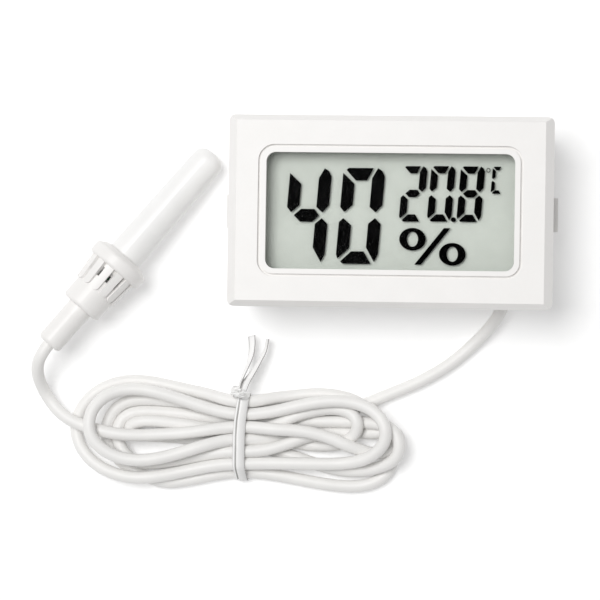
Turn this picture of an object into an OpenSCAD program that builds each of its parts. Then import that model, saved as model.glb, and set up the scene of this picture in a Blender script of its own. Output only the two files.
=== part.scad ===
// Panel thermometer and hygrometer on a wired probe, laid on its back.
// The origin is the centre of the rear face: +X to the right of the display,
// +Y up the display and +Z out of it. Everything rests on the plane z = 0.

/* [Bezel] */
// Width of the bezel
bezel_w = 48; // [47.5:0.1:49]
// Height of the bezel
bezel_h = 28.4; // [28.2:0.1:29.5]
// Thickness of the bezel in front of the panel
bezel_t = 3; // [2.8:0.1:3.4]
// Width of the chamfer on the left and right edges
chamfer_side = 1.28; // [0.6:0.01:1.4]
// Width of the chamfer on the top and bottom edges
chamfer_end = 0.88; // [0.6:0.01:1.2]
// Height of all four chamfers
chamfer_depth = 1.4; // [0.8:0.1:1.8]
// Depth of the groove round the window's frame
groove_depth = 0.5; // [0.2:0.05:0.6]

/* [Case] */
// Total thickness of the unit, rear face to bezel front
unit_t = 15.2; // [15.2:0.1:16]
// Width of the part that passes through the panel
case_w = 45.8; // [45.6:0.1:46]
// Height of the part that passes through the panel
case_h = 26.2; // [26:0.1:26.4]
// Wall of the rear shell
wall = 1.2; // [1:0.05:1.3]

/* [Display] */
// Width of the window
window_w = 36.6; // [35:0.1:37]
// Height of the window
window_h = 17.2; // [16.5:0.1:17.4]
// Height of the large humidity digits
big_digit_h = 14.2; // [12:0.1:14.4]
// Height of the small temperature digits
small_digit_h = 8.2; // [7:0.1:8.4]
// Lean of the digits, as sideways run over height
lean = 0.075; // [0:0.005:0.1]

/* [Battery] */
// Diameter of a button cell
cell_d = 11.6; // [11.5:0.1:11.6]
// Height of a button cell
cell_h = 5.4; // [5:0.1:5.4]

/* [Clips] */
// Width of a side clip
clip_w = 5; // [4:0.1:5.2]
// Reach of a clip's tip from the centre line of the unit
clip_reach = 24.7; // [24.2:0.1:25]

/* [Probe] */
// Diameter of the probe tube at the collar
tube_d = 5.5; // [5.2:0.1:5.5]
// Diameter of the collar's flange
flange_d = 9.3; // [8.8:0.1:9.6]
// Number of ribs round the collar
rib_count = 13; // [10:1:14]
// Direction in which the tip points, in degrees from +X
probe_yaw = 50.4; // [45:0.1:55]
// Pitch of the probe as it rests on its flange and its tip, in degrees
probe_pitch = 6.09; // [6.09:0.01:6.3]

/* [Lead] */
// Diameter of the sensor lead
lead_d = 1.9; // [1.6:0.1:2]
// Height of the tied hank
hank_h = 5.8; // [4:0.1:6]

/* [Hidden] */
$fn = 48;
eps = 0.02;

// Levels of the display unit, from the front down
seat_z = unit_t - bezel_t;
rim_step = 0.1;
rim_z = seat_z + rim_step;
skin_t = 1;
lens_t = 0.9;
polariser_t = 0.2;
glass_t = 0.55;
film_t = 0.05;
reflector_t = 0.15;
board_t = 0.8;
ceiling_t = 0.6;
leaf_t = 0.2;
rear_t = 1.4;
lens_z = unit_t - skin_t - lens_t;
polariser_z = lens_z - polariser_t;
front_glass_z = polariser_z - glass_t;
film_z = front_glass_z - film_t;
rear_glass_z = film_z - glass_t;
reflector_z = rear_glass_z - reflector_t;
board_top_z = 8.5;
board_z = board_top_z - board_t;
ceiling_z = board_z - ceiling_t;
leaf_z = ceiling_z - leaf_t;
cell_z = leaf_z - cell_h;

// Outlines of the display unit
corner_r = 1;
frame_w = window_w + 2.4;
frame_h = window_h + 2.3;
frame_r = 2.4;
groove_w = 0.4;
window_r = 1.4;
lens_w = 38.7;
lens_h = 19.5;
glass_w = 37.6;
rear_glass_h = 17.8;
fit = 0.2;
cavity_r = 0.5;
embed = 0.5;
rim_gap = 0.1;
cavity_w = case_w - 2 * wall;
cavity_h = case_h - 2 * wall;
skirt_t = 1.1;
skirt_z = 10.6;
post_x = 20.3;
post_y = 8.5;
post_r = 1.2;
screw_r = 0.6;
screw_tip_z = 11.4;
lug_w = 6;
lug_t = 0.6;
lug_z = 11;
lug_gap = 0.15;

// Digit at its full height, which character() scales to the size wanted
digit_w = 6.2;
digit_h = 14.2;
stroke = 1.85;
digit_mid = 7.2;

// Places and sizes of the marks on the readout
four_at = [-16, -7.8];
zero_at = [-8.1, -7.7];
small_digits_at = [[1.2, -1.35], [5.35, -1.3], [9.7, -1.3]];
point_at = [9.3, -1, 0];
point_r = 0.36;
degree_at = [14.35, 6.35];
degree_outer = [0.3, 0.34];
degree_inner = [0.2, 0.24];
letter_at = [14.7, 2.9];
letter_h = 4;
percent_rings_at = [[3.3, -3.95], [9.2, -6.1]];
percent_outer = [1.96, 1.67];
percent_inner = [0.82, 1.11];
slash_ends = [[8.4, -2.25], [4.1, -7.7]];
slash_half = [0.48, 0];

// Parts on the circuit board
strip_l = 36;
strip_w = 0.7;
strip_y = 9.35;
notch_x = 19.6;
notch_w = 4;
chip_x = -5;
chip_ball_r = 5;
chip_h = 1.2;
crystal_at = [8, 4];
crystal_r = 0.95;
crystal_l = 6;
smd_size = [1.6, 0.8, 0.5];
smd_at = [[8, 0], [11, 0], [8, -3], [11, -3], [14, -3], [14, 0]];
wire_r = 0.22;
wire_offsets = [-0.6, 0, 0.6];
wire_y = -10.3;
wire_tail_y = -11;

// Battery bay and door
cell_x = 6.1;
negative_x = -cell_x - 3;
link_x = 3;
positive_x = cell_x + 5.95;
plate_z = cell_z + 0.6;
tab_top_z = board_top_z + 0.4;
pocket_r = cell_d / 2 + 0.25;
pocket_slot_h = 4.6;
plate_slot_w = 2.7;
leaf_w = 3;
leaf_reach = 3;
bay_w = 27.6;
bay_h = 14.4;
door_w = 26;
door_bottom = -6.8;
door_t = 1.2;
door_skin = 0.1;
ridge_count = 4;
ridge_pitch = 1.2;
ridge_w = 0.6;
ridge_l = 10;
ridge_depth = 0.25;
rail_t = 0.8;
tongue_t = 0.4;
tongue_reach = 0.6;
tongue_gap = 0.1;
tongue_z = door_skin + 0.4;
slide_gap = 0.15;

// Side clips, seen from the front edge of the unit
clip_pivot_z = 3;
clip_t = 1;
clip_x = case_w / 2 - wall + clip_t / 2;
clip_gap = 0.3;
clip_slot_top = 11.4;
clip_room = 2.4;
clip_outer_x = clip_x + clip_t / 2;
clip_profile = [
    [clip_x - clip_t / 2, clip_pivot_z],
    [clip_outer_x, clip_pivot_z],
    [clip_outer_x, 4.6],
    [clip_reach, 8.8],
    [clip_reach, 9.5],
    [clip_outer_x, 10.1],
    [clip_outer_x, 11.1],
    [clip_x - clip_t / 2, 11.1]
];

// Lead, grommet and tie
lead_r = lead_d / 2;
lead_sides = 8;
exit_x = 16.7;
exit_z = 3.4;
grommet_r = 1.7;
grommet_flange_r = 2.4;
grommet_flange_t = 0.8;
lead_fit = 0.02;
grommet_out_y = -case_h / 2 - 0.3;
display_route = [
    [16.7, -13.4, 3.4], [16.5, -14.3, 3.3], [16.0, -15.2, 2.9], [15.1, -16.4, 2.3],
    [14.0, -17.7, 1.6], [12.5, -19.2, 1.1], [10.6, -21.0, 1.0], [8.6, -22.6, 1.0],
    [6.4, -24.0, 1.0], [4.0, -25.3, 1.0], [1.6, -26.4, 1.0], [-0.6, -27.3, 1.0]
];
probe_route_tail = [
    [-52.8, -21.6, 6.8], [-53.6, -23.2, 6.1], [-53.8, -25.0, 4.6], [-53.4, -26.8, 3.0],
    [-52.6, -28.4, 2.2], [-51.5, -29.9, 2.4], [-50.2, -31.1, 2.8], [-48.6, -32.1, 2.9]
];
hank_left = [-40.5, -33.5];
hank_left_r = 8.9;
hank_right = [-5.6, -34.5];
hank_right_r = 8.1;
hank_waist = [-22.5, -34.2];
waist_half = 6;
tie_w = 2.1;
tie_t = 0.4;
knot_r = 1.1;
tail_r = 0.3;
tie_knot = [-23, -27.2, 4.4];
tie_tails = [[-21.8, -18.7, 1.5], [-19.2, -19, 1.5]];

// Probe, along its own axis from the tip, which is 0
nose_r = 1.7;
nose_flat = 0.8;
tube_r = tube_d / 2;
tube_bore_r = 1.8;
tube_end = 24.5;
flange_at = 20.7;
flange_slope = 0.5;
flange_flat_r = 3.4;
flange_t = 2.7;
flange_r = flange_d / 2;
flange_end = flange_at + flange_t;
edge_r = 0.6;
rib_end = 27.6;
rib_start = flange_end - embed;
rib_w = 1.2;
rib_r = 4.05;
rib_end_r = 3.6;
body_r = 3.3;
rib_root_r = body_r - 0.4;
probe_fit = 0.05;
collar_fit = 0.03;
body_bore_r = tube_r + probe_fit;
body_edge_r = 0.6;
body_end = 31;
body_wall_at = 29.6;
slot_w = 0.55;
slot_at = 24;
slot_l = 1.6;
slot_depth = 1.2;
boot_r = 2;
boot_flange_r = 2.5;
boot_flange_t = 0.6;
boot_edge_r = 0.7;
boot_end = 38.3;
bead_at = 5;
bead_r = 0.75;
sensor_board_at = tube_end + 0.3;
sensor_board_t = 0.8;
sensor_board_w = 3.8;
sensor_board_l = 3.6;
sensor_size = [0.7, 2.4, 2.6];
probe_tip = [
    -27.6,
    9,
    nose_r + nose_flat * cos(probe_pitch) - nose_r * sin(probe_pitch)
];
lead_entry = probe_tip + boot_end * [
    -cos(probe_pitch) * cos(probe_yaw),
    -cos(probe_pitch) * sin(probe_yaw),
    sin(probe_pitch)
];
probe_route = concat([lead_entry], probe_route_tail);

// ---- General shapes ----

// Slab with rounded corners, centred on the axis, standing on z = 0.
module plate(w, h, r, t) {
    linear_extrude(t) {
        square([w - 2 * r, h], center = true);
        square([w, h - 2 * r], center = true);
        for (sx = [-1, 1], sy = [-1, 1])
            translate([sx * (w / 2 - r), sy * (h / 2 - r)]) circle(r);
    }
}

// Rectangular block centred on the axis, standing on z = 0.
module block(w, h, t) {
    translate([-w / 2, -h / 2, 0]) cube([w, h, t]);
}

// Points of an arc about (cx, cy), from angle a to angle b.
function arc(cx, cy, r, a, b, n = 8) =
    [for (i = [0:n]) [cx + r * cos(a + (b - a) * i / n), cy + r * sin(a + (b - a) * i / n)]];

// Four copies at the corners of a rectangle.
module at_corners(x, y) {
    for (sx = [-1, 1], sy = [-1, 1])
        translate([sx * x, sy * y, 0]) children();
}

// ---- Swept lead ----

function unit(v) = v / norm(v);
function tangent(pts, i) = unit(pts[min(i + 1, len(pts) - 1)] - pts[max(i - 1, 0)]);
function across(t) = unit(cross(t, [0, 0, 1]));
function ring(p, t, r, n) =
    [for (k = [0:n - 1])
        let (a = 360 * (k + 0.5) / n, s = across(t), u = cross(s, t))
            p + r * cos(a) * s + r * sin(a) * u];

// Round tube through a route's points, closed at both ends.
module tube_along(pts, r, n) {
    rings = [for (i = [0:len(pts) - 1]) each ring(pts[i], tangent(pts, i), r, n)];
    last = (len(pts) - 1) * n;
    sides = [for (i = [0:len(pts) - 2], k = [0:n - 1])
        let (a = i * n + k, b = i * n + (k + 1) % n) each [[a, b, b + n], [a, b + n, a + n]]];
    start_cap = [for (k = [0:n - 1]) n - 1 - k];
    end_cap = [for (k = [0:n - 1]) last + k];
    polyhedron(points = rings, faces = concat(sides, [start_cap], [end_cap]));
}

// ---- Bezel and display ----

module front_bezel() {
    half_w = bezel_w / 2;
    half_h = bezel_h / 2;
    edge_z = unit_t - chamfer_depth;
    color([0.96, 0.95, 0.94]) difference() {
        union() {
            intersection() {
                translate([0, 0, seat_z]) plate(bezel_w, bezel_h, corner_r, bezel_t);
                rotate([90, 0, 0]) linear_extrude(bezel_h + 2, center = true) polygon([
                    [-half_w - 1, seat_z - 1], [half_w + 1, seat_z - 1], [half_w + 1, edge_z],
                    [half_w, edge_z], [half_w - chamfer_side, unit_t],
                    [-half_w + chamfer_side, unit_t], [-half_w, edge_z], [-half_w - 1, edge_z]
                ]);
                rotate([90, 0, 90]) linear_extrude(bezel_w + 2, center = true) polygon([
                    [-half_h - 1, seat_z - 1], [half_h + 1, seat_z - 1], [half_h + 1, edge_z],
                    [half_h, edge_z], [half_h - chamfer_end, unit_t],
                    [-half_h + chamfer_end, unit_t], [-half_h, edge_z], [-half_h - 1, edge_z]
                ]);
            }
            bezel_skirt();
            translate([0, 0, board_top_z])
                at_corners(post_x, post_y) cylinder(r = post_r, h = seat_z - board_top_z + embed);
        }
        translate([0, 0, seat_z - 1]) plate(window_w, window_h, window_r, bezel_t + 2);
        translate([0, 0, unit_t - groove_depth]) window_groove();
        translate([0, 0, seat_z - 2]) block(lens_w + fit, lens_h + fit, lens_z + lens_t - seat_z + 2);
        translate([0, 0, seat_z - 1]) rim_groove();
        translate([0, 0, board_top_z - 1])
            at_corners(post_x, post_y) cylinder(r = screw_r, h = screw_tip_z - board_top_z + 1.2);
    }
}

// Groove that sets the window's frame off from the bezel's face.
module window_groove() {
    difference() {
        plate(frame_w, frame_h, frame_r, 1);
        translate([0, 0, -1])
            plate(frame_w - 2 * groove_w, frame_h - 2 * groove_w, frame_r - groove_w, 3);
    }
}

// Ring that plugs into the shell, with gaps for the clips and lugs that snap in.
module bezel_skirt() {
    outer_w = cavity_w - fit;
    outer_h = cavity_h - fit;
    difference() {
        translate([0, 0, skirt_z]) plate(outer_w, outer_h, cavity_r, seat_z - skirt_z + embed);
        translate([0, 0, skirt_z - 1]) block(outer_w - 2 * skirt_t, outer_h - 2 * skirt_t, 4);
        translate([0, 0, skirt_z - 1]) block(outer_w + 1, clip_w + clip_room, seat_z - skirt_z + 1);
    }
    for (s = [-1, 1])
        translate([0, s * (outer_h / 2 + 0.1), lug_z]) block(lug_w, lug_t, lug_t);
}

// Step that the shell's rim stands in, so the seating face is only the flange.
module rim_groove() {
    difference() {
        plate(case_w + rim_gap, case_h + rim_gap, corner_r, 1 + rim_step);
        translate([0, 0, -1]) plate(cavity_w - rim_gap, cavity_h - rim_gap, cavity_r, 4);
    }
}

module display_window() {
    color([0.9, 0.95, 0.95, 0.3])
        translate([0, 0, lens_z]) block(lens_w, lens_h, lens_t);
}

module lcd_polariser() {
    color([0.8, 0.82, 0.78, 0.4])
        translate([0, 0, polariser_z]) block(glass_w, lens_h - fit, polariser_t);
}

module lcd_front_glass() {
    color([0.8, 0.85, 0.82, 0.4])
        translate([0, 0, front_glass_z]) block(glass_w, lens_h, glass_t);
}

module lcd_rear_glass() {
    color([0.8, 0.85, 0.82, 0.4])
        translate([0, 0, rear_glass_z]) block(glass_w, rear_glass_h, glass_t);
}

module lcd_reflector() {
    color([0.78, 0.8, 0.77])
        translate([0, 0, reflector_z]) block(glass_w, rear_glass_h, reflector_t);
}

// Thin glue frame that holds the liquid crystal between the glasses.
module lcd_seal() {
    seal_w = 0.3;
    color([0.7, 0.72, 0.7]) translate([0, 0, film_z]) difference() {
        block(glass_w, rear_glass_h, film_t);
        translate([0, 0, -1]) block(glass_w - 2 * seal_w, rear_glass_h - 2 * seal_w, 2);
    }
}

// ---- Segments of the readout ----

// Outlines of a digit's seven segments, drawn for a digit of the full height digit_h,
// with its lower left corner at the origin.
function seg_top() = [
    [0.45, digit_h - 0.3], [0.8, digit_h], [digit_w - 1.75, digit_h],
    [digit_w - 2.6, digit_h - stroke], [1.95, digit_h - stroke]
];
function seg_upper_left() = [
    [0, digit_h - 0.75], [stroke - 0.05, digit_h - 2.35], [stroke - 0.05, digit_mid + 1.5],
    [0.65, digit_mid + 0.45], [0, digit_mid + 1.2]
];
function seg_upper_right() = [
    [digit_w - 1.1, digit_h], [digit_w - 0.45, digit_h - 0.4], [digit_w, digit_h - 1.2],
    [digit_w, digit_mid + 1.5], [digit_w - 0.9, digit_mid + 0.45],
    [digit_w - stroke, digit_mid + 1.25], [digit_w - stroke, digit_h - 1.5]
];
function seg_middle() = [
    [1.1, digit_mid], [2.1, digit_mid + 0.95], [digit_w - 2.1, digit_mid + 0.95],
    [digit_w - 1.35, digit_mid], [digit_w - 2.3, digit_mid - 0.95], [2.1, digit_mid - 0.95]
];
function seg_lower_left() = [
    [0.6, digit_mid - 0.45], [0, digit_mid - 1.05], [0, 1.4], [0.25, 0.75],
    [stroke, 2.35], [stroke, digit_mid - 1.5]
];
function seg_lower_right() = [
    [digit_w - 0.9, digit_mid - 0.4], [digit_w, digit_mid - 1.25], [digit_w, 1.5],
    [digit_w - 0.5, 0.3], [digit_w - stroke, 2.45], [digit_w - stroke, digit_mid - 1.25]
];
function seg_bottom() = [
    [0.7, 0.35], [1.1, 0], [digit_w - 0.95, 0], [digit_w - 2.15, stroke], [2.2, stroke]
];
function segments() = [
    seg_top(), seg_upper_right(), seg_lower_right(), seg_bottom(),
    seg_lower_left(), seg_upper_left(), seg_middle()
];
function slanted(pts) = [for (p = pts) [p[0] + lean * p[1], p[1]]];

// One character, from the numbers of its lit segments.
module character(at, height, lit) {
    translate([at[0], at[1], 0]) scale(height / digit_h)
        for (i = lit) linear_extrude(film_t * digit_h / height) polygon(slanted(segments()[i]));
}

module ellipse_ring(at, outer, inner) {
    translate([at[0], at[1], 0]) linear_extrude(film_t) difference() {
        polygon(ellipse(outer));
        polygon(ellipse(inner));
    }
}
function ellipse(half) = [for (a = [0:10:350]) [half[0] * cos(a), half[1] * sin(a)]];

module percent_sign() {
    for (at = percent_rings_at) ellipse_ring(at, percent_outer, percent_inner);
    linear_extrude(film_t) polygon([
        slash_ends[0] - slash_half, slash_ends[1] - slash_half,
        slash_ends[1] + slash_half, slash_ends[0] + slash_half
    ]);
}

module lcd_segments() {
    two = [0, 1, 3, 4, 6];
    four = [1, 2, 5, 6];
    eight = [0, 1, 2, 3, 4, 5, 6];
    zero = [0, 1, 2, 3, 4, 5];
    letter_c = [0, 3, 4, 5];
    color([0.03, 0.03, 0.03]) translate([0, 0, film_z]) {
        character(four_at, big_digit_h, four);
        character(zero_at, big_digit_h, zero);
        character(small_digits_at[0], small_digit_h, two);
        character(small_digits_at[1], small_digit_h, zero);
        character(small_digits_at[2], small_digit_h, eight);
        character(letter_at, letter_h, letter_c);
        translate(point_at) cylinder(r = point_r, h = film_t);
        ellipse_ring(degree_at, degree_outer, degree_inner);
        percent_sign();
    }
}

// ---- Electronics ----

module zebra_strip(side) {
    color([0.25, 0.3, 0.35]) translate([0, side * strip_y, board_top_z])
        block(strip_l, strip_w, front_glass_z - board_top_z);
}
module zebra_strip_upper() { zebra_strip(1); }
module zebra_strip_lower() { zebra_strip(-1); }

module circuit_board() {
    through = 3;
    color([0.05, 0.35, 0.15]) difference() {
        translate([0, 0, board_z]) block(cavity_w - 0.6, cavity_h - 1, board_t);
        for (s = [-1, 1]) translate([s * (notch_x + notch_w / 2), 0, board_z - 1])
            block(notch_w, clip_w + clip_room, through);
        translate([0, 0, board_z - 1]) {
            at_corners(post_x, post_y) cylinder(r = screw_r + 0.1, h = through);
            contact_slots(fit / 2, through);
            for (x = wire_offsets)
                translate([exit_x + x, wire_y, 0]) cylinder(r = wire_r + 0.03, h = through);
        }
    }
}

module chip_blob() {
    color([0.05, 0.05, 0.05]) intersection() {
        translate([chip_x, 0, board_top_z + chip_h - chip_ball_r]) sphere(chip_ball_r);
        translate([chip_x, 0, board_top_z]) block(2 * chip_ball_r, 2 * chip_ball_r, chip_h + 1);
    }
}

module crystal() {
    leg_r = 0.12;
    leg_l = 1.6;
    leg_gap = 0.35;
    color([0.75, 0.75, 0.78])
        translate([crystal_at[0], crystal_at[1], board_top_z + crystal_r]) rotate([0, 90, 0]) {
            cylinder(r = crystal_r, h = crystal_l);
            for (s = [-1, 1]) translate([0, s * leg_gap, -leg_l]) cylinder(r = leg_r, h = leg_l + eps);
        }
}

module smd_parts() {
    color([0.35, 0.28, 0.2]) for (p = smd_at)
        translate([p[0], p[1], board_top_z]) block(smd_size[0], smd_size[1], smd_size[2]);
}

module board_screws() {
    head_r = 1.1;
    head_h = 0.7;
    cross_w = 0.25;
    cross_l = 1.4;
    color([0.7, 0.7, 0.72]) at_corners(post_x, post_y) difference() {
        union() {
            translate([0, 0, board_z - head_h]) cylinder(r = head_r, h = head_h);
            translate([0, 0, board_z]) cylinder(r = screw_r, h = screw_tip_z - board_z);
        }
        translate([0, 0, board_z - head_h - eps]) block(cross_w, cross_l, 0.35);
        translate([0, 0, board_z - head_h - eps]) block(cross_l, cross_w, 0.35);
    }
}

// ---- Rear shell and battery ----

// Slots that the three contacts' tabs pass through: negative, link and positive.
module contact_slots(gap, h) {
    for (x = [negative_x, link_x, positive_x])
        translate([x, 0, 0]) block(leaf_t + 2 * gap, 2 + 2 * gap, h);
}

module rear_shell() {
    color([0.95, 0.95, 0.94]) difference() {
        union() {
            difference() {
                plate(case_w, case_h, corner_r, rim_z);
                translate([0, 0, rear_t]) plate(cavity_w, cavity_h, cavity_r, rim_z);
            }
            translate([0, 0, rear_t - eps]) block(bay_w, bay_h, board_z - rear_t + eps);
            translate([-bay_w / 2, bay_h / 2 - eps, rear_t - eps])
                cube([bay_w, (cavity_h - bay_h) / 2 + 0.1, rail_t]);
        }
        battery_pocket();
        door_opening();
        for (s = [-1, 1]) clip_slot(s);
        translate([exit_x, -case_h / 2 - 1, exit_z])
            rotate([-90, 0, 0]) cylinder(r = grommet_r, h = wall + 2);
        translate([0, 0, ceiling_z - 1]) contact_slots(fit / 2, 3);
        for (s = [-1, 1])
            translate([0, s * (cavity_h / 2 + 0.2), lug_z - lug_gap])
                block(lug_w + 4 * lug_gap, 0.8, lug_t + 2 * lug_gap);
    }
}

// Hollow for the two cells, open at the rear, with room for the contacts' plates.
module battery_pocket() {
    depth = ceiling_z + 1;
    translate([0, 0, -1]) {
        for (s = [-1, 1]) translate([s * cell_x, 0, 0]) cylinder(r = pocket_r, h = depth);
        block(2 * cell_x, pocket_slot_h, depth);
        translate([cell_x + 5, 0, 0]) block(plate_slot_w, pocket_slot_h, depth);
    }
}

// Way of the door: its opening out to the top edge, and a groove for each tongue.
module door_opening() {
    top = case_h / 2 + 1;
    length = top - door_bottom + slide_gap;
    w = door_w + 2 * slide_gap;
    groove_w = w + 2 * tongue_reach;
    translate([-w / 2, door_bottom - slide_gap, -1]) cube([w, length, 1 + rear_t]);
    translate([-groove_w / 2, door_bottom - slide_gap, tongue_z - slide_gap])
        cube([groove_w, length, tongue_t + 2 * slide_gap]);
}

module battery_door() {
    length = case_h / 2 - door_bottom;
    tongues_w = door_w + 2 * (tongue_reach - tongue_gap);
    color([0.94, 0.94, 0.93]) difference() {
        union() {
            translate([-door_w / 2, door_bottom, door_skin]) cube([door_w, length, door_t]);
            translate([-tongues_w / 2, door_bottom, tongue_z]) cube([tongues_w, length, tongue_t]);
        }
        for (i = [0:ridge_count - 1])
            translate([0, door_bottom + 2 + ridge_pitch * i, door_skin - 1])
                block(ridge_l, ridge_w, 1 + ridge_depth);
    }
}

module clip_slot(s) {
    x = s * (case_w / 2 - wall / 2);
    bottom = clip_pivot_z - clip_t / 2 - clip_gap;
    translate([x, 0, bottom]) block(wall + 1, clip_w + 2 * clip_gap, clip_slot_top - bottom);
}

module battery_cell(s) {
    r = cell_d / 2;
    rim = 0.4;
    button_r = 4.9;
    can_h = cell_h - rim;
    color([0.78, 0.78, 0.8]) translate([s * cell_x, 0, cell_z]) rotate_extrude() polygon([
        [0, 0], [r - 0.3, 0], [r, 0.3], [r, can_h - 0.2], [r - 0.2, can_h],
        [button_r, can_h], [button_r, can_h + rim - 0.1], [button_r - 0.1, cell_h], [0, cell_h]
    ]);
}
module battery_cell_left() { battery_cell(-1); }
module battery_cell_right() { battery_cell(1); }

// Leaf under the bay's ceiling that presses on a cell's button, with a tab to the board.
module leaf_with_tab(from_x, to_x, tab_x) {
    translate([from_x, -leaf_w / 2, leaf_z]) cube([to_x - from_x, leaf_w, leaf_t]);
    translate([tab_x, 0, leaf_z]) block(leaf_t, 2, tab_top_z - leaf_z);
}

module negative_contact() {
    color([0.8, 0.78, 0.7]) leaf_with_tab(negative_x - leaf_t / 2, leaf_reach - cell_x, negative_x);
}

// Joins the rim of the left cell to the button of the right one.
module link_contact() {
    color([0.8, 0.78, 0.7]) {
        leaf_with_tab(-0.25, cell_x + leaf_reach, link_x);
        translate([-0.15, 0, plate_z]) block(leaf_t, leaf_w, leaf_z + leaf_t - plate_z);
    }
}

module positive_contact() {
    color([0.8, 0.78, 0.7]) {
        translate([positive_x, 0, plate_z]) block(leaf_t, 3.6, ceiling_z - plate_z);
        translate([positive_x, 0, ceiling_z - eps]) block(leaf_t, 2, tab_top_z - ceiling_z);
    }
}

// ---- Side clips ----

module clip(s) {
    color([0.93, 0.93, 0.92]) mirror([s < 0 ? 1 : 0, 0, 0]) rotate([90, 0, 0]) {
        linear_extrude(clip_w, center = true) polygon(clip_profile);
        translate([clip_x, clip_pivot_z, 0]) cylinder(r = clip_t / 2, h = clip_w, center = true);
    }
}
module clip_left() { clip(-1); }
module clip_right() { clip(1); }

// ---- Lead ----

module lead_grommet() {
    inner_y = -cavity_h / 2;
    color([0.9, 0.9, 0.88]) translate([exit_x, 0, exit_z]) rotate([-90, 0, 0]) difference() {
        union() {
            translate([0, 0, grommet_out_y]) cylinder(r = grommet_r, h = inner_y - grommet_out_y);
            translate([0, 0, inner_y - eps]) cylinder(r = grommet_flange_r, h = grommet_flange_t);
        }
        translate([0, 0, grommet_out_y - 1]) cylinder(r = lead_r + lead_fit, h = 5);
    }
}

// The lead's own end inside the case, and its three wires up through the board.
module display_wires() {
    color([0.8, 0.8, 0.78]) {
        translate([exit_x, grommet_out_y, exit_z]) rotate([-90, 0, 0])
            cylinder(r = lead_r, h = wire_tail_y - grommet_out_y);
        for (x = wire_offsets) {
            translate([exit_x + x, wire_tail_y - eps, exit_z]) rotate([-90, 0, 0])
                cylinder(r = wire_r, h = wire_y - wire_tail_y + wire_r);
            translate([exit_x + x, wire_y, exit_z])
                cylinder(r = wire_r, h = board_top_z + 0.2 - exit_z);
        }
    }
}

module cord_from_display() {
    color([0.93, 0.93, 0.92]) tube_along(display_route, lead_r, lead_sides);
}

module cord_to_probe() {
    color([0.93, 0.93, 0.92]) tube_along(probe_route, lead_r, lead_sides);
}

module cord_hank() {
    neck_h = hank_h - 2 * tie_t;
    color([0.92, 0.92, 0.9]) {
        hank_lobe(hank_left, hank_left_r, -1);
        hank_lobe(hank_right, hank_right_r, 1);
        translate([hank_waist[0], hank_waist[1], tie_t])
            block(tie_w + 1, 2 * waist_half - 2 * tie_t, neck_h);
    }
}

// One rounded end of the hank, tapering to the waist where the tie grips it.
module hank_lobe(centre, r, side) {
    waist_x = hank_waist[0] + side * (tie_w / 2 + 0.02);
    linear_extrude(hank_h) {
        translate(centre) circle(r);
        polygon([
            centre + [-side, r - 0.1], [waist_x, hank_waist[1] + waist_half],
            [waist_x, hank_waist[1] - waist_half], centre + [-side, 0.1 - r]
        ]);
    }
}

// Band of the tie round the hank's waist.
module tie_band() {
    depth = 2 * waist_half;
    translate([hank_waist[0], hank_waist[1], 0]) difference() {
        block(tie_w, depth, hank_h);
        translate([0, 0, tie_t]) block(tie_w + 1, depth - 2 * tie_t, hank_h - 2 * tie_t);
    }
}

module tail_to(end) {
    half = tie_w / 2;
    hull() {
        translate(tie_knot) rotate([0, 90, 0]) cylinder(r = tail_r, h = tie_w, center = true);
        translate(end) rotate([0, 90, 0]) cylinder(r = tail_r, h = half, center = true);
    }
}

module twist_tie() {
    color([0.88, 0.88, 0.87]) {
        tie_band();
        translate(tie_knot) sphere(knot_r);
        for (end = tie_tails) tail_to(end);
    }
}

// ---- Probe ----

// Puts a shape drawn along +Z from the tip where the probe lies.
module on_probe() {
    translate(probe_tip) rotate([0, 0, probe_yaw]) rotate([0, probe_pitch - 90, 0]) children();
}

module probe_tube() {
    color([0.97, 0.97, 0.96]) on_probe() rotate_extrude() polygon(concat(
        [[0, 0]],
        arc(nose_flat, nose_r, nose_r, -90, 0),
        [[tube_r, flange_at], [tube_r, tube_end], [tube_bore_r, tube_end],
         [tube_bore_r, 3], [tube_bore_r - 0.8, 2], [0, 2]]
    ));
}

module probe_collar() {
    rim_at = flange_at + flange_slope + edge_r;
    rim_end = flange_end - edge_r;
    color([0.95, 0.95, 0.94]) on_probe() difference() {
        union() {
            rotate_extrude() polygon(concat(
                [[0, flange_at], [flange_flat_r, flange_at]],
                arc(flange_r - edge_r, rim_at, edge_r, -70, 0, 4),
                arc(flange_r - edge_r, rim_end, edge_r, 0, 90, 4),
                [[0, flange_end]]
            ));
            intersection() {
                for (i = [0:rib_count - 1]) rotate([0, 0, 360 * i / rib_count]) collar_rib();
                rib_taper();
            }
        }
        translate([0, 0, flange_at - 1]) cylinder(r = body_bore_r, h = flange_t + 2);
        translate([0, 0, flange_end]) cylinder(r = body_r + collar_fit, h = 9);
    }
}

// Rib along the collar, with a round end towards the lead.
module collar_rib() {
    length = rib_end - rib_start - rib_w / 2;
    translate([rib_root_r, 0, rib_start]) rotate([90, 0, 90])
        linear_extrude(rib_r - rib_root_r) {
            translate([-rib_w / 2, 0]) square([rib_w, length]);
            translate([0, length]) circle(rib_w / 2);
        }
}

// Cone that the ribs are trimmed to, so they thin out towards the lead.
module rib_taper() {
    rotate_extrude()
        polygon([[0, rib_start], [rib_r, rib_start], [rib_end_r, rib_end], [0, rib_end]]);
}

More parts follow.
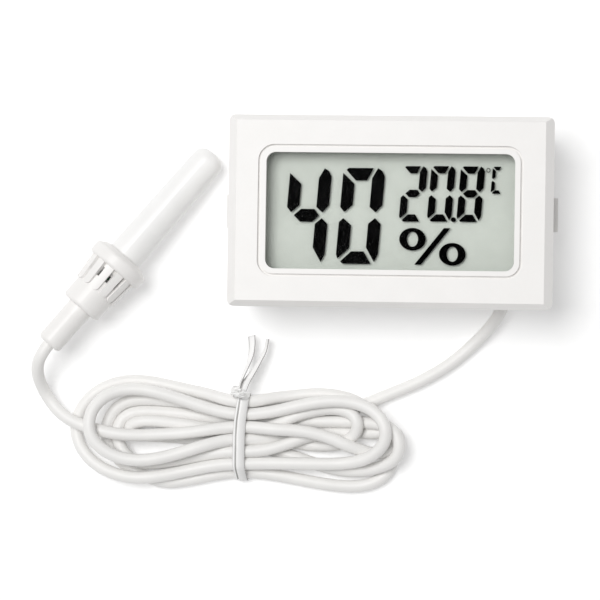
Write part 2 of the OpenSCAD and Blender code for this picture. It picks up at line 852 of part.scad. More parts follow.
module probe_rear_body() {
    at = flange_end;
    inner_r = boot_flange_r + probe_fit;
    color([0.95, 0.95, 0.94]) on_probe() difference() {
        rotate_extrude() polygon(concat(
            [[0, at], [body_r, at]],
            arc(body_r - body_edge_r, body_end - body_edge_r, body_edge_r, 0, 90, 4),
            [[0, body_end]]
        ));
        translate([0, 0, at - 1]) cylinder(r = body_bore_r, h = tube_end - at + 1);
        translate([0, 0, at]) cylinder(r = inner_r, h = body_wall_at - at);
        translate([0, 0, at]) cylinder(r = boot_r + probe_fit, h = body_end);
        for (i = [0:rib_count - 1]) rotate([0, 0, 360 * (i + 0.5) / rib_count])
            translate([body_r - slot_depth, -slot_w / 2, slot_at]) cube([2, slot_w, slot_l]);
    }
}

module probe_boot() {
    boot_flange_at = body_wall_at - boot_flange_t;
    color([0.93, 0.93, 0.92]) on_probe() difference() {
        rotate_extrude() polygon(concat(
            [[0, boot_flange_at], [boot_flange_r, boot_flange_at],
             [boot_flange_r, body_wall_at], [boot_r, body_wall_at]],
            arc(boot_r - boot_edge_r, boot_end - boot_edge_r, boot_edge_r, 0, 90, 5),
            [[0, boot_end]]
        ));
        translate([0, 0, body_wall_at - 2]) cylinder(r = lead_r + lead_fit, h = 12);
    }
}

module probe_board() {
    color([0.05, 0.35, 0.15]) on_probe()
        translate([-sensor_board_t / 2, -sensor_board_w / 2, sensor_board_at])
            cube([sensor_board_t, sensor_board_w, sensor_board_l]);
}

module humidity_sensor() {
    color([0.9, 0.9, 0.85]) on_probe()
        translate([sensor_board_t / 2, -sensor_size[1] / 2, sensor_board_at + 0.3]) cube(sensor_size);
}

module thermistor() {
    leg_gap = 0.35;
    leg_r = 0.15;
    color([0.1, 0.1, 0.1]) on_probe() {
        translate([0, 0, bead_at]) sphere(bead_r);
        for (s = [-1, 1]) translate([0, s * leg_gap, bead_at])
            cylinder(r = leg_r, h = sensor_board_at - bead_at);
    }
}

module probe_wires() {
    tail_at = body_wall_at - 0.3;
    board_end = sensor_board_at + sensor_board_l;
    color([0.8, 0.8, 0.78]) on_probe() {
        translate([0, 0, tail_at]) cylinder(r = lead_r, h = boot_end - tail_at);
        for (y = wire_offsets) translate([0, y, board_end])
            cylinder(r = wire_r, h = tail_at - board_end + eps);
    }
}

front_bezel();
display_window();
lcd_polariser();
lcd_front_glass();
lcd_segments();
lcd_seal();
lcd_rear_glass();
lcd_reflector();
zebra_strip_upper();
zebra_strip_lower();
circuit_board();
chip_blob();
crystal();
smd_parts();
board_screws();
rear_shell();
battery_door();
battery_cell_left();
battery_cell_right();
negative_contact();
link_contact();
positive_contact();
clip_left();
clip_right();
lead_grommet();
display_wires();
cord_from_display();
cord_hank();
cord_to_probe();
twist_tie();
probe_tube();
probe_collar();
probe_rear_body();
probe_boot();
probe_board();
humidity_sensor();
thermistor();
probe_wires();
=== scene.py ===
import math

import bpy
from mathutils import Matrix, Vector
from mathutils.kdtree import KDTree


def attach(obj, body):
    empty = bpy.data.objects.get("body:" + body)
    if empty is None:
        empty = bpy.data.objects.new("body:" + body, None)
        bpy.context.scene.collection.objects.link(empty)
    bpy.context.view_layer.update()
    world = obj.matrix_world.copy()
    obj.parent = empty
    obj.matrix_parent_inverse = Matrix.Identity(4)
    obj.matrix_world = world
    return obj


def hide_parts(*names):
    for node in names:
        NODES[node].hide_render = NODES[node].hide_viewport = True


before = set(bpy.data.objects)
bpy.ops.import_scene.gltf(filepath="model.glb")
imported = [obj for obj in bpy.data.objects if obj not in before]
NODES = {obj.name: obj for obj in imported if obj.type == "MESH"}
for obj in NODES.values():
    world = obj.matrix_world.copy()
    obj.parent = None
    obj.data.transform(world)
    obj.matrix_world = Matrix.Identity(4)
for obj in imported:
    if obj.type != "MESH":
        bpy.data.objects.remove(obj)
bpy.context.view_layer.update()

MM = 0.001


def mm(point):
    """A point given in millimetres, in metres."""
    return Vector(point) * MM


# ---- Camera ----

# Places in millimetres, the roll in radians, the sensor's width in millimetres.
CAMERA_AT = (20, -18.7, 415.2)
CAMERA_LOOKS_AT = (-14.26, -13.0, 0)
CAMERA_ROLL = 0.0156
SENSOR_WIDTH = 36
# Focal length as a multiple of the sensor's width.
FOCAL_RATIO = 4.545
# Nearest and farthest distance that the camera sees, in metres.
CLIP_START = 0.01
CLIP_END = 20


def make_camera():
    """Camera that looks down at the object, rolled about its own line of sight."""
    data = bpy.data.cameras.new("camera")
    data.sensor_width = SENSOR_WIDTH
    data.lens = SENSOR_WIDTH * FOCAL_RATIO
    data.clip_start = CLIP_START
    data.clip_end = CLIP_END
    camera = bpy.data.objects.new("camera", data)
    bpy.context.scene.collection.objects.link(camera)
    forward = (mm(CAMERA_LOOKS_AT) - mm(CAMERA_AT)).normalized()
    right = forward.cross(Vector((0, 1, 0))).normalized()
    up = right.cross(forward)
    turned_right = math.cos(CAMERA_ROLL) * right + math.sin(CAMERA_ROLL) * up
    turned_up = math.cos(CAMERA_ROLL) * up - math.sin(CAMERA_ROLL) * right
    turned = Matrix((turned_right, turned_up, -forward)).transposed().to_4x4()
    camera.matrix_world = Matrix.Translation(mm(CAMERA_AT)) @ turned
    bpy.context.scene.camera = camera


# ---- Node materials ----

# Detail of the noise that makes colour patches, and of the noise that makes fine grain.
PATCH_DETAIL = 4
GRAIN_DETAIL = 3
# Values of the patch noise at which the colour starts and stops changing.
RAMP_START = 0.35
RAMP_END = 0.65
# Height of the grain in relief.
RELIEF_DEPTH = 0.05 * MM
# A clear sheet's haze: its noise, then its darkest tint and roughest spot as shares of the sheet's.
HAZE_SCALE = 900
HAZE_DETAIL = 2
HAZE_TINT = 0.996
HAZE_ROUGH = 1.6


def new_material(name):
    """Empty node material, with its node tree and its output node."""
    material = bpy.data.materials.new(name)
    material.use_nodes = True
    tree = material.node_tree
    tree.nodes.clear()
    output = tree.nodes.new("ShaderNodeOutputMaterial")
    return material, tree, output


def noise_value(tree, scale, detail, stretch=(1, 1, 1)):
    """Noise over the object's own coordinates, in cells of 1/scale metres."""
    coordinates = tree.nodes.new("ShaderNodeTexCoord")
    mapping = tree.nodes.new("ShaderNodeMapping")
    mapping.inputs["Scale"].default_value = stretch
    texture = tree.nodes.new("ShaderNodeTexNoise")
    texture.inputs["Scale"].default_value = scale
    texture.inputs["Detail"].default_value = detail
    tree.links.new(coordinates.outputs["Object"], mapping.inputs["Vector"])
    tree.links.new(mapping.outputs["Vector"], texture.inputs["Vector"])
    return texture.outputs["Fac"]


def ramp(tree, value, low, high):
    """Colour that runs from low to high as value goes from RAMP_START to RAMP_END."""
    node = tree.nodes.new("ShaderNodeValToRGB")
    node.color_ramp.elements[0].position = RAMP_START
    node.color_ramp.elements[1].position = RAMP_END
    node.color_ramp.elements[0].color = (*low, 1)
    node.color_ramp.elements[1].color = (*high, 1)
    tree.links.new(value, node.inputs["Fac"])
    return node.outputs["Color"]


def spread(tree, value, low, high):
    """Number that runs from low to high as value goes from 0 to 1."""
    node = tree.nodes.new("ShaderNodeMapRange")
    node.inputs["To Min"].default_value = low
    node.inputs["To Max"].default_value = high
    tree.links.new(value, node.inputs["Value"])
    return node.outputs["Result"]


def surface(name, dark, light, rough, bump=0.0, patch=300, grain=2500, stretch=(1, 1, 1), **plain):
    """Principled material: slow colour patches, varied roughness and a fine grain in relief.

    dark and light are the patches' colours, rough the lowest and highest roughness, bump the
    relief's strength, patch and grain the noises' scales, and plain any other socket's value.
    """
    material, tree, output = new_material(name)
    shader = tree.nodes.new("ShaderNodeBsdfPrincipled")
    patches = noise_value(tree, patch, PATCH_DETAIL, stretch)
    fine = noise_value(tree, grain, GRAIN_DETAIL, stretch)
    tree.links.new(ramp(tree, patches, dark, light), shader.inputs["Base Color"])
    tree.links.new(spread(tree, fine, *rough), shader.inputs["Roughness"])
    if bump:
        relief = tree.nodes.new("ShaderNodeBump")
        relief.inputs["Strength"].default_value = bump
        relief.inputs["Distance"].default_value = RELIEF_DEPTH
        tree.links.new(fine, relief.inputs["Height"])
        tree.links.new(relief.outputs["Normal"], shader.inputs["Normal"])
    for socket, value in plain.items():
        shader.inputs[socket.replace("_", " ")].default_value = value
    tree.links.new(shader.outputs["BSDF"], output.inputs["Surface"])
    return material


def clear(name, tint, rough, ior):
    """Clear sheet: see-through, with a reflection that grows at a slant."""
    material, tree, output = new_material(name)
    through = tree.nodes.new("ShaderNodeBsdfTransparent")
    mirror = tree.nodes.new("ShaderNodeBsdfGlossy")
    fresnel = tree.nodes.new("ShaderNodeFresnel")
    mix = tree.nodes.new("ShaderNodeMixShader")
    haze = noise_value(tree, HAZE_SCALE, HAZE_DETAIL)
    low = tuple(HAZE_TINT * c for c in tint)
    tree.links.new(ramp(tree, haze, low, tint), through.inputs["Color"])
    tree.links.new(spread(tree, haze, rough, rough * HAZE_ROUGH), mirror.inputs["Roughness"])
    fresnel.inputs["IOR"].default_value = ior
    tree.links.new(fresnel.outputs["Fac"], mix.inputs["Fac"])
    tree.links.new(through.outputs["BSDF"], mix.inputs[1])
    tree.links.new(mirror.outputs["BSDF"], mix.inputs[2])
    tree.links.new(mix.outputs["Shader"], output.inputs["Surface"])
    return material


MATERIALS = {
    "case": surface("case_white", (0.875, 0.86, 0.843), (0.89, 0.875, 0.858), (0.34, 0.46), 0.25),
    "rear": surface("rear_white", (0.82, 0.81, 0.795), (0.835, 0.825, 0.81), (0.42, 0.56), 0.35),
    "probe": surface("probe_white", (0.9, 0.895, 0.885), (0.92, 0.915, 0.905), (0.3, 0.42), 0.2),
    "lead": surface(
        "lead_pvc", (0.855, 0.845, 0.828), (0.89, 0.88, 0.862), (0.36, 0.5), 0.3,
        patch=160, Specular_IOR_Level=0.4),
    "tie": surface("tie_strip", (0.94, 0.935, 0.925), (0.96, 0.955, 0.945), (0.35, 0.5), 0.5, grain=4000),
    # Dark grey for the tie's groove and edge faces: painted shade, standing in for the shade that falls
    # there.
    "tie_painted_shade": surface("tie_painted_shade", (0.4, 0.395, 0.385), (0.5, 0.495, 0.485), (0.5, 0.65), grain=4000),
    "window": clear("window_acrylic", (0.998, 0.998, 0.998), 0.05, 1.04),
    "glass": clear("lcd_glass", (0.998, 0.998, 0.998), 0.04, 1.01),
    "film": clear("polariser_film", (0.99, 0.992, 0.99), 0.2, 1.01),
    "reflector": surface(
        "lcd_reflector", (0.655, 0.695, 0.635), (0.685, 0.725, 0.665), (0.5, 0.65), 0.2, grain=6000),
    "ink": surface("lcd_ink", (0.0008, 0.0008, 0.0009), (0.002, 0.002, 0.0022), (0.5, 0.6),
                   Specular_IOR_Level=0.0),
    "seal": surface("lcd_seal", (0.5, 0.52, 0.49), (0.58, 0.6, 0.57), (0.5, 0.7)),
    "rubber": surface("zebra_rubber", (0.12, 0.15, 0.2), (0.4, 0.42, 0.46), (0.5, 0.7), 0.2,
                      patch=4000, stretch=(1, 0.02, 0.02)),
    "board": surface("board_green", (0.02, 0.16, 0.06), (0.035, 0.23, 0.09), (0.3, 0.45), 0.3),
    "epoxy": surface("chip_epoxy", (0.01, 0.01, 0.01), (0.025, 0.025, 0.025), (0.2, 0.4), 0.4),
    "component": surface("component", (0.16, 0.1, 0.06), (0.4, 0.36, 0.3), (0.35, 0.5)),
    "metal": surface("bright_metal", (0.6, 0.6, 0.61), (0.72, 0.72, 0.73), (0.2, 0.34), 0.3,
                     stretch=(1, 12, 1), Metallic=1.0),
    "brass": surface("spring_metal", (0.62, 0.55, 0.4), (0.74, 0.68, 0.52), (0.22, 0.36), 0.3,
                     stretch=(1, 12, 1), Metallic=1.0),
    "sensor_black": surface("sensor_black", (0.015, 0.015, 0.015), (0.03, 0.03, 0.03), (0.3, 0.5)),
    "sensor_white": surface("sensor_white", (0.7, 0.7, 0.66), (0.8, 0.8, 0.76), (0.4, 0.6)),
}

# Which CAD nodes take each material.
CAD_MATERIALS = {
    "case": ["front_bezel", "probe_collar", "probe_rear_body", "probe_boot"],
    "rear": ["rear_shell", "battery_door", "clip_left", "clip_right", "lead_grommet"],
    "probe": ["probe_tube"],
    "lead": ["display_wires", "probe_wires"],
    "window": ["display_window"],
    "glass": ["lcd_front_glass", "lcd_rear_glass"],
    "film": ["lcd_polariser"],
    "reflector": ["lcd_reflector"],
    "ink": ["lcd_segments"],
    "seal": ["lcd_seal"],
    "rubber": ["zebra_strip_upper", "zebra_strip_lower"],
    "board": ["circuit_board", "probe_board"],
    "epoxy": ["chip_blob"],
    "component": ["smd_parts"],
    "metal": ["crystal", "board_screws", "battery_cell_left", "battery_cell_right"],
    "brass": ["negative_contact", "link_contact", "positive_contact"],
    "sensor_black": ["thermistor"],
    "sensor_white": ["humidity_sensor"],
}


def dress_cad_nodes():
    """Give every CAD node its material in place of its plain colour."""
    for key, names in CAD_MATERIALS.items():
        for name in names:
            mesh = NODES[name].data
            mesh.materials.clear()
            mesh.materials.append(MATERIALS[key])


# ---- The lead's route, in millimetres ----

LEAD_D = 1.9
# Heights of a run that lies on the floor, and of one that lies on another run.
LOW = LEAD_D / 2
HIGH = 1.5 * LEAD_D
# The waist of the hank, where the tie holds it.
WAIST_X = -22.5
# Where each run passes the waist: its y and its height. top is the side of a fold towards +Y.
SLOTS = {
    "a_top": (-29.0, 2.6), "b_top": (-30.6, HIGH), "middle": (-32.4, HIGH),
    "b_low": (-34.3, HIGH), "c_low": (-36.1, HIGH), "a_low": (-37.8, HIGH),
    "c_top": (-29.5, LOW), "d_top": (-31.3, LOW), "e_top": (-33.1, LOW),
    "e_low": (-34.9, LOW), "d_low": (-39.3, LOW),
}
# Stretches outside the folds, in the lead's order.
DISPLAY_ROUTE = [
    (16.7, -13.4, 3.4), (16.5, -14.3, 3.3), (16.0, -15.2, 2.9), (15.1, -16.4, 2.3),
    (14.0, -17.7, 1.6), (12.5, -19.2, 1.1), (10.6, -21.0, 1.0), (8.6, -22.6, 1.0),
    (6.4, -24.0, 1.0), (4.0, -25.3, 1.0), (1.6, -26.4, 1.0), (-0.6, -27.3, 1.0),
]
INTO_HANK = [
    (-2.8, -28.4, LOW), (-5.2, -29.3, LOW), (-8.2, -29.8, LOW), (-12, -29.8, LOW), (-17, -29.6, LOW),
]
OUT_OF_HANK = [
    (-25.5, -32.6, HIGH), (-28.3, -32.9, HIGH), (-32, -33.4, HIGH), (-36.5, -33.9, 3.0),
    (-39.4, -34.0, 3.3), (-42.2, -33.8, 3.4), (-45.0, -33.2, 3.0),
]
PROBE_ROUTE = [
    (-48.6, -32.1, 2.9), (-50.2, -31.1, 2.8), (-51.5, -29.9, 2.4), (-52.6, -28.4, 2.2),
    (-53.4, -26.8, 3.0), (-53.8, -25.0, 4.6), (-53.6, -23.2, 6.1), (-52.8, -21.6, 6.8),
    (-51.876, -20.344, 6.378),
]
# Folds of the hank in the lead's order: waist slot, crown, far end, crown, waist slot.
# bow is how round each quarter is, ease how the run from the waist reaches each crown
# (0 is an even S, other numbers a power), and lift how far the run rises in between.
FOLDS = [
    dict(slots=("c_top", "d_low"), crowns=((-39.5, -28.7, LOW), (-34.8, -41.2, LOW)),
         far=(-43.3, -34.0, LOW), bow=(1, 0.55)),
    dict(slots=("d_low", "a_top"), crowns=((-5.7, -41.3, LOW), (-10.5, -27.3, 1.5)),
         far=(0.7, -36.8, LOW)),
    dict(slots=("a_top", "a_low"), crowns=((-39.5, -25.7, LOW), (-38.5, -40.5, 2.3)),
         far=(-48.4, -33.1, LOW)),
    dict(slots=("a_low", "b_top"), crowns=((-9.5, -37.8, HIGH), (-7.0, -28.4, 3.8)),
         far=(-0.2, -33.1, 4.8)),
    dict(slots=("b_top", "b_low"), crowns=((-39.5, -26.9, 3.0), (-38.3, -37.8, 4.4)),
         far=(-46.0, -32.4, 4.8)),
    dict(slots=("b_low", "e_top"), crowns=((-8.4, -34.4, 1.5), (-8.6, -29.3, 2.0)),
         far=(-4.3, -31.5, 2.4)),
    dict(slots=("e_top", "e_low"), crowns=((-37.4, -31.5, 2.0), (-36.0, -34.1, LOW)),
         far=(-40.9, -32.9, 1.4)),
    dict(slots=("e_low", "d_top"), crowns=((-6.0, -38.9, 1.4), (-1.2, -32.4, 2.0)),
         far=(1.45, -34.6, 2.9), ease=(0, 3)),
    dict(slots=("d_top", "c_low"), crowns=((-38.1, -30.5, LOW), (-38.6, -38.6, 1.8)),
         far=(-42.4, -34.2, 1.2)),
    dict(slots=("c_low", "middle"), crowns=((-0.4, -32.0, 1.4), (-2.6, -36.6, 2.2)),
         far=(1.35, -34.0, 1.0), ease=(1, 3), lift=(0, 1.4)),
]
# Distance between points of the lead's line.
LINE_STEP = 0.5
# Points in a run from the waist to a crown, and in a quarter from a crown to the far end.
RUN_STEPS = 8
QUARTER_STEPS = 5
# Least distance counted between two points, so that no curve through them divides by nothing.
TINY = 1e-6
# Rounds of easing before the lead is laid down, and after.
EASE_ROUNDS = 12
FINISH_ROUNDS = 4
# Laying down: rounds, easing of each round's shifts, and points at each end that stay put.
SETTLE_ROUNDS = 120
SHIFT_ROUNDS = 3
HELD_ENDS = 12
# The share of a shift that each round keeps, and the share of a push that it adds.
SHIFT_KEPT = 0.98
PUSH_SHARE = 0.5
# Stretch along the lead, in diameters, within which its points don't push each other.
OWN_STRETCH = 4
# Lean of every push, which parts runs that lie exactly on each other.
UPWARD = Vector((0, 0, 0.01))
# Segments in a quarter of the lead's round section.
LEAD_ROUNDNESS = 6


def smooth(t):
    """S-shaped rise from 0 to 1 as t goes from 0 to 1."""
    t = min(max(t, 0), 1)
    return t * t * (3 - 2 * t)


def run(slot, crown, ease, lift):
    """Points from a waist slot to just before a crown, whose height is reached halfway."""
    points = []
    for step in range(RUN_STEPS):
        t = step / RUN_STEPS
        x = WAIST_X + (crown[0] - WAIST_X) * t
        y = slot[0] + (crown[1] - slot[0]) * (t**ease if ease else smooth(t))
        z = slot[1] + (crown[2] - slot[1]) * smooth(2 * t) + lift * math.sin(math.pi * t)
        points.append((x, y, z))
    return points


def quarter(crown, far, bow):
    """Points from a crown to just before the far end: an ellipse, flattened as bow falls."""
    points = []
    for step in range(QUARTER_STEPS):
        t = step / QUARTER_STEPS
        across = t + (math.sin(t * math.pi / 2) - t) * bow
        down = t + (1 - math.cos(t * math.pi / 2) - t) * bow
        x = crown[0] + (far[0] - crown[0]) * across
        y = crown[1] + (far[1] - crown[1]) * down
        z = crown[2] + (far[2] - crown[2]) * smooth(t)
        points.append((x, y, z))
    return points


def fold_points(slots, crowns, far, bow=(1, 1), ease=(0, 0), lift=(0, 0)):
    """One fold, out from the waist to its far end and back to just before the waist."""
    halves = []
    for side in range(2):
        to_crown = run(SLOTS[slots[side]], crowns[side], ease[side], lift[side])
        halves.append(to_crown + quarter(crowns[side], far, bow[side]))
    out, back = halves
    return out + [far] + back[:0:-1]


def lead_points():
    """Points of the whole lead, from the display to the probe."""
    points = DISPLAY_ROUTE + INTO_HANK
    for fold in FOLDS:
        points += fold_points(**fold)
    last_y, last_z = SLOTS["middle"]
    return points + [(WAIST_X, last_y, last_z)] + OUT_OF_HANK + PROBE_ROUTE


def through(points, step):
    """Smooth line through points, as a Catmull-Rom curve with a point every step or so."""
    points = [Vector(p) for p in points]
    ends = [2 * points[0] - points[1]] + points + [2 * points[-1] - points[-2]]
    line = []
    for a, b, c, d in zip(ends, ends[1:], ends[2:], ends[3:]):
        count = max(1, round((c - b).length / step))
        gaps = [max((q - p).length, TINY) ** 0.5 for p, q in ((a, b), (b, c), (c, d))]
        start = ((b - a) / gaps[0] - (c - a) / (gaps[0] + gaps[1]) + (c - b) / gaps[1]) * gaps[1]
        end = ((c - b) / gaps[1] - (d - b) / (gaps[1] + gaps[2]) + (d - c) / gaps[2]) * gaps[1]
        for i in range(count):
            t = i / count
            line.append(
                b * (2 * t**3 - 3 * t**2 + 1) + start * (t**3 - 2 * t**2 + t)
                + c * (3 * t**2 - 2 * t**3) + end * (t**3 - t**2))
    line.append(points[-1])
    return line


def relaxed(line, rounds):
    """The line with its small kinks eased out and its ends left in place."""
    for _ in range(rounds):
        middle = [(a + 2 * b + c) / 4 for a, b, c in zip(line, line[1:], line[2:])]
        line = [line[0]] + middle + [line[-1]]
    return line


def settled(line, rounds):
    """The line laid down: runs that would pass through each other part, but stay near their places."""
    target = list(line)
    shift = [Vector() for _ in target]
    own_points = round(OWN_STRETCH * LEAD_D / LINE_STEP)
    for _ in range(rounds):
        line = [place + moved for place, moved in zip(target, shift)]
        tree = KDTree(len(line))
        for i, place in enumerate(line):
            tree.insert(place, i)
        tree.balance()
        pushed = []
        for i, place in enumerate(line):
            near = tree.find_range(place, LEAD_D)
            found = [(at, gap) for at, j, gap in near if abs(i - j) > own_points]
            push = Vector()
            for at, gap in found:
                push += (place - at + UPWARD).normalized() * (LEAD_D - gap) / 2
            if found:
                push /= len(found) ** 0.5
            held = min(i, len(line) - 1 - i, HELD_ENDS) / HELD_ENDS
            moved = (shift[i] * SHIFT_KEPT + push * PUSH_SHARE) * held
            moved.z = max(moved.z, LEAD_D / 2 - target[i].z)
            pushed.append(moved)
        shift = relaxed(pushed, SHIFT_ROUNDS)
    return [place + moved for place, moved in zip(target, shift)]


def make_lead():
    """The lead as a round cord along its settled line, which is given back too."""
    line = relaxed(through(lead_points(), LINE_STEP), EASE_ROUNDS)
    line = relaxed(settled(line, SETTLE_ROUNDS), FINISH_ROUNDS)
    curve = bpy.data.curves.new("sensor_lead", "CURVE")
    curve.dimensions = "3D"
    spline = curve.splines.new("POLY")
    spline.points.add(len(line) - 1)
    for point, place in zip(spline.points, line):
        point.co = (*mm(place), 1)
    curve.bevel_depth = LEAD_D / 2 * MM
    curve.bevel_resolution = LEAD_ROUNDNESS
    curve.materials.append(MATERIALS["lead"])
    lead = bpy.data.objects.new("sensor_lead", curve)
    bpy.context.scene.collection.objects.link(lead)
    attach(lead, "unit")
    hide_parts("cord_from_display", "cord_hank", "cord_to_probe")
    return lead, line


# ---- Twist tie, in millimetres ----

TIE_THICK = 0.16
# Across the strip: a shaded flange, the wire's ridge, and the flat main strip.
TIE_PROFILE = [
    (-0.95, -0.36), (-0.78, -0.14), (-0.6, -0.1), (-0.46, -0.26), (-0.34, 0.0), (-0.2, 0.12), (-0.04, 0.02),
    (0.9, 0.0), (0.9, -TIE_THICK), (0.0, -TIE_THICK), (-0.46, -0.38), (-0.9, -0.4),
]
# Faces of the strip, counted from its left edge, that lie in the groove and along the edges, and take a
# painted shade: dark grey that stands in for the shade there.
TIE_PAINTED_SHADE_FACES = {2, 3, 7, 11}
# Room between the band and the runs that it holds.
TIE_GAP = 0.22
# Places round the band, and the least height of any of them above the floor.
BAND_STEPS = 96
BAND_LOWEST = 0.15
# Sideways place of the band, as it bends from its foot over the middle to its head.
BAND_BEND = (-0.2, -0.45, 0.45)
# The two tails, from the knot to their tips, and the strip's roll in degrees at each place.
TAILS = [
    [(-23.0, -26.7, 4.0), (-22.9, -25.9, 3.7), (-22.6, -24.9, 3.2), (-22.1, -23.4, 2.8),
     (-21.6, -21.6, 2.3), (-21.5, -20.2, 1.9), (-21.6, -18.6, 1.6)],
    [(-22.7, -26.8, 4.1), (-22.3, -25.9, 3.8), (-21.8, -25.0, 3.2), (-20.9, -23.6, 2.7),
     (-20.1, -22.2, 2.3), (-19.4, -20.8, 1.9), (-19.05, -19.1, 1.6)],
]
TAIL_ROLLS = [(80, 78, 72, 62, 52, 46, 42), (25, 45, 55, 62, 68, 72, 74)]
# The knot: its middle line, the turns of its two strands, their distance from that line and
# the strip's width there as a share of its full width.
KNOT_ROUTE = [
    (-21.9, -28.0, 3.8), (-22.5, -27.7, 4.3), (-23.2, -27.5, 4.4), (-23.8, -27.3, 4.3), (-23.9, -27.0, 4.0),
    (-23.5, -26.7, 3.8), (-23.0, -26.7, 3.9), (-22.7, -26.6, 3.9),
]
KNOT_TURNS = 1.75
KNOT_R = 0.3
KNOT_STRIP = 0.56
# Distance between points along the tails and along the knot, and the knot's rounds of easing.
TAIL_STEP = 0.3
KNOT_STEP = 0.08
KNOT_EASE_ROUNDS = 6


def make_piece(name, points, faces, material, body):
    """Mesh piece from points in millimetres, smooth shaded."""
    mesh = bpy.data.meshes.new(name)
    mesh.from_pydata([mm(p) for p in points], [], faces)
    mesh.validate()
    mesh.shade_smooth()
    mesh.materials.append(MATERIALS[material])
    piece = bpy.data.objects.new(name, mesh)
    bpy.context.scene.collection.objects.link(piece)
    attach(piece, body)
    return piece


def swept(path, sides, ups, profile, closed):
    """Points and faces of a profile carried along a path, whose u goes sideways and v upwards."""
    count, width = len(path), len(profile)
    points = []
    for place, side, up in zip(path, sides, ups):
        points += [place + side * u + up * v for u, v in profile]
    faces = []
    for i in range(count if closed else count - 1):
        a, b = i * width, (i + 1) % count * width
        for k in range(width):
            n = (k + 1) % width
            faces.append((a + k, a + n, b + n, b + k))
    if not closed:
        faces.append(tuple(range(width)))
        faces.append(tuple(reversed(range((count - 1) * width, count * width))))
    return points, faces


def directions(path, i):
    """Unit directions at place i of a path: along it, level across it, and up from both."""
    along = (path[min(i + 1, len(path) - 1)] - path[max(i - 1, 0)]).normalized()
    level = along.cross(Vector((0, 0, 1))).normalized()
    return along, level, level.cross(along)


def merged(parts):
    """Several lists of points and faces as one."""
    points, faces = [], []
    for part_points, part_faces in parts:
        start = len(points)
        points += part_points
        faces += [tuple(start + i for i in face) for face in part_faces]
    return points, faces


def band_part(line):
    """The strip round the waist, drawn tight over the runs that pass there."""
    runs = []
    for a, b in zip(line, line[1:]):
        if (a.x - WAIST_X) * (b.x - WAIST_X) <= 0 and a.x != b.x:
            runs.append(a.lerp(b, (WAIST_X - a.x) / (b.x - a.x)))
    middle_y = sum(p.y for p in runs) / len(runs)
    half_y = max(abs(p.y - middle_y) for p in runs) + LEAD_D / 2
    foot, middle, head = BAND_BEND
    path, sides, ups = [], [], []
    for step in range(BAND_STEPS):
        angle = 2 * math.pi * step / BAND_STEPS
        out = Vector((0, math.cos(angle), math.sin(angle)))
        run_at = max(runs, key=out.dot)
        place = Vector((0, run_at.y, run_at.z)) + out * (LEAD_D / 2 + TIE_THICK + TIE_GAP)
        place.z = max(place.z, BAND_LOWEST)
        rise = (place.y - middle_y) / half_y
        place.x = WAIST_X + middle + (head - foot) / 2 * rise + ((head + foot) / 2 - middle) * rise**2
        path.append(place)
        sides.append(Vector((1, 0, 0)))
        ups.append(out)
    path = [(a + b * 2 + c) / 4 for a, b, c in zip(path[-1:] + path[:-1], path, path[1:] + path[:1])]
    return swept(path, sides, ups, TIE_PROFILE, True)


def strip_part(path, rolls):
    """A strip along a path, rolled about it by an angle at each place."""
    sides, ups = [], []
    for i, roll in enumerate(rolls):
        _, level, over = directions(path, i)
        turn = math.radians(roll)
        sides.append(level * math.cos(turn) + over * math.sin(turn))
        ups.append(over * math.cos(turn) - level * math.sin(turn))
    return swept(path, sides, ups, TIE_PROFILE, False)


def tail_part(points, rolls):
    """One loose end of the tie, rolled evenly from each given roll to the next."""
    path = through(points, TAIL_STEP)
    turned = []
    for i in range(len(path)):
        at = i / (len(path) - 1) * (len(rolls) - 1)
        low = min(int(at), len(rolls) - 2)
        turned.append(rolls[low] + (rolls[low + 1] - rolls[low]) * (at - low))
    return strip_part(path, turned)


def knot_parts():
    """The strip's two ends twisted round each other."""
    line = relaxed(through(KNOT_ROUTE, KNOT_STEP), KNOT_EASE_ROUNDS)
    parts = []
    for phase in (0, math.pi):
        path, sides, ups = [], [], []
        for i, place in enumerate(line):
            along, level, over = directions(line, i)
            angle = phase + 2 * math.pi * KNOT_TURNS * i / (len(line) - 1)
            out = level * math.cos(angle) + over * math.sin(angle)
            path.append(place + out * KNOT_R)
            sides.append(out.cross(along) * KNOT_STRIP)
            ups.append(out)
        parts.append(swept(path, sides, ups, TIE_PROFILE, False))
    return parts


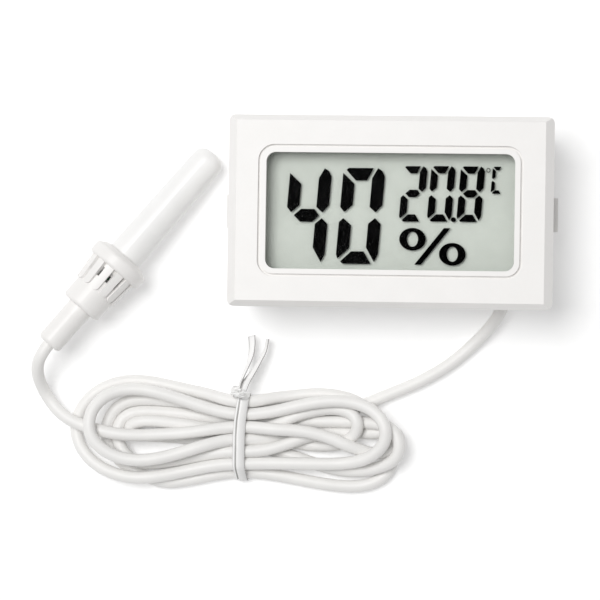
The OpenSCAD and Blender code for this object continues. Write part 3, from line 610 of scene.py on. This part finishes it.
def make_tie(line):
    """The whole twist tie as one piece: band, knot and tails, with painted shade (dark grey) in the grooves
    and along the edges of band and tails.
    """
    band = band_part(line)
    knot = knot_parts()
    tails = [tail_part(route, rolls) for route, rolls in zip(TAILS, TAIL_ROLLS)]
    points, faces = merged([band] + knot + tails)
    tie = make_piece("twist_tie_strip", points, faces, "tie", "unit")
    tie.data.materials.append(MATERIALS["tie_painted_shade"])
    knot_start = len(band[0])
    knot_end = knot_start + sum(len(strand_points) for strand_points, _ in knot)
    # Groove and edge faces of band and tails take the painted shade; the knot stays plain white.
    for face in tie.data.polygons:
        first = face.vertices[0]
        in_knot = knot_start <= first < knot_end
        painted_shade = len(face.vertices) == 4 and first % len(TIE_PROFILE) in TIE_PAINTED_SHADE_FACES
        face.material_index = int(painted_shade and not in_knot)
    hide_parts("twist_tie")
    return tie


# ---- Floor and light ----

# The floor is a light table, which keeps its shadows pale. Sizes and places in metres.
FLOOR_GLOW = 0.18
FLOOR_HALF = 3
KEY_AT = (-0.23, 0.16, 0.8)
KEY_LOOKS_AT = (-0.014, -0.013, 0)
KEY_SIZE = 0.5
KEY_POWER = 4.5
SKY_STRENGTH = 0.41
# How many clear surfaces a ray may pass through: the window and the display's layers need many.
CLEAR_BOUNCES = 24


def make_floor():
    """Plain pale floor, which belongs to the stage and not to the object."""
    mesh = bpy.data.meshes.new("floor")
    corners = [(x * FLOOR_HALF, y * FLOOR_HALF, 0) for x, y in ((-1, -1), (1, -1), (1, 1), (-1, 1))]
    mesh.from_pydata(corners, [], [(0, 1, 2, 3)])
    floor = bpy.data.objects.new("floor", mesh)
    bpy.context.scene.collection.objects.link(floor)
    mesh.materials.append(surface(
        "floor_white", (0.94, 0.94, 0.94), (0.95, 0.95, 0.95), (0.8, 0.9),
        Emission_Color=(1, 1, 1, 1), Emission_Strength=FLOOR_GLOW))


def make_key_light():
    """Large soft lamp from the upper left."""
    data = bpy.data.lights.new("key", "AREA")
    data.shape = "DISK"
    data.size = KEY_SIZE
    data.energy = KEY_POWER
    light = bpy.data.objects.new("key", data)
    light.location = KEY_AT
    light.rotation_euler = (Vector(KEY_LOOKS_AT) - Vector(KEY_AT)).to_track_quat("-Z", "Y").to_euler()
    bpy.context.scene.collection.objects.link(light)


def make_sky():
    """Even white light from all round."""
    world = bpy.data.worlds.new("studio")
    world.use_nodes = True
    background = world.node_tree.nodes["Background"]
    background.inputs["Color"].default_value = (1, 1, 1, 1)
    background.inputs["Strength"].default_value = SKY_STRENGTH
    bpy.context.scene.world = world


# ---- The scene ----

make_camera()
lead, lead_line = make_lead()
tie = make_tie(lead_line)
dress_cad_nodes()
make_floor()
make_key_light()
make_sky()
bpy.context.scene.view_settings.view_transform = "Standard"
bpy.context.scene.cycles.transparent_max_bounces = CLEAR_BOUNCES
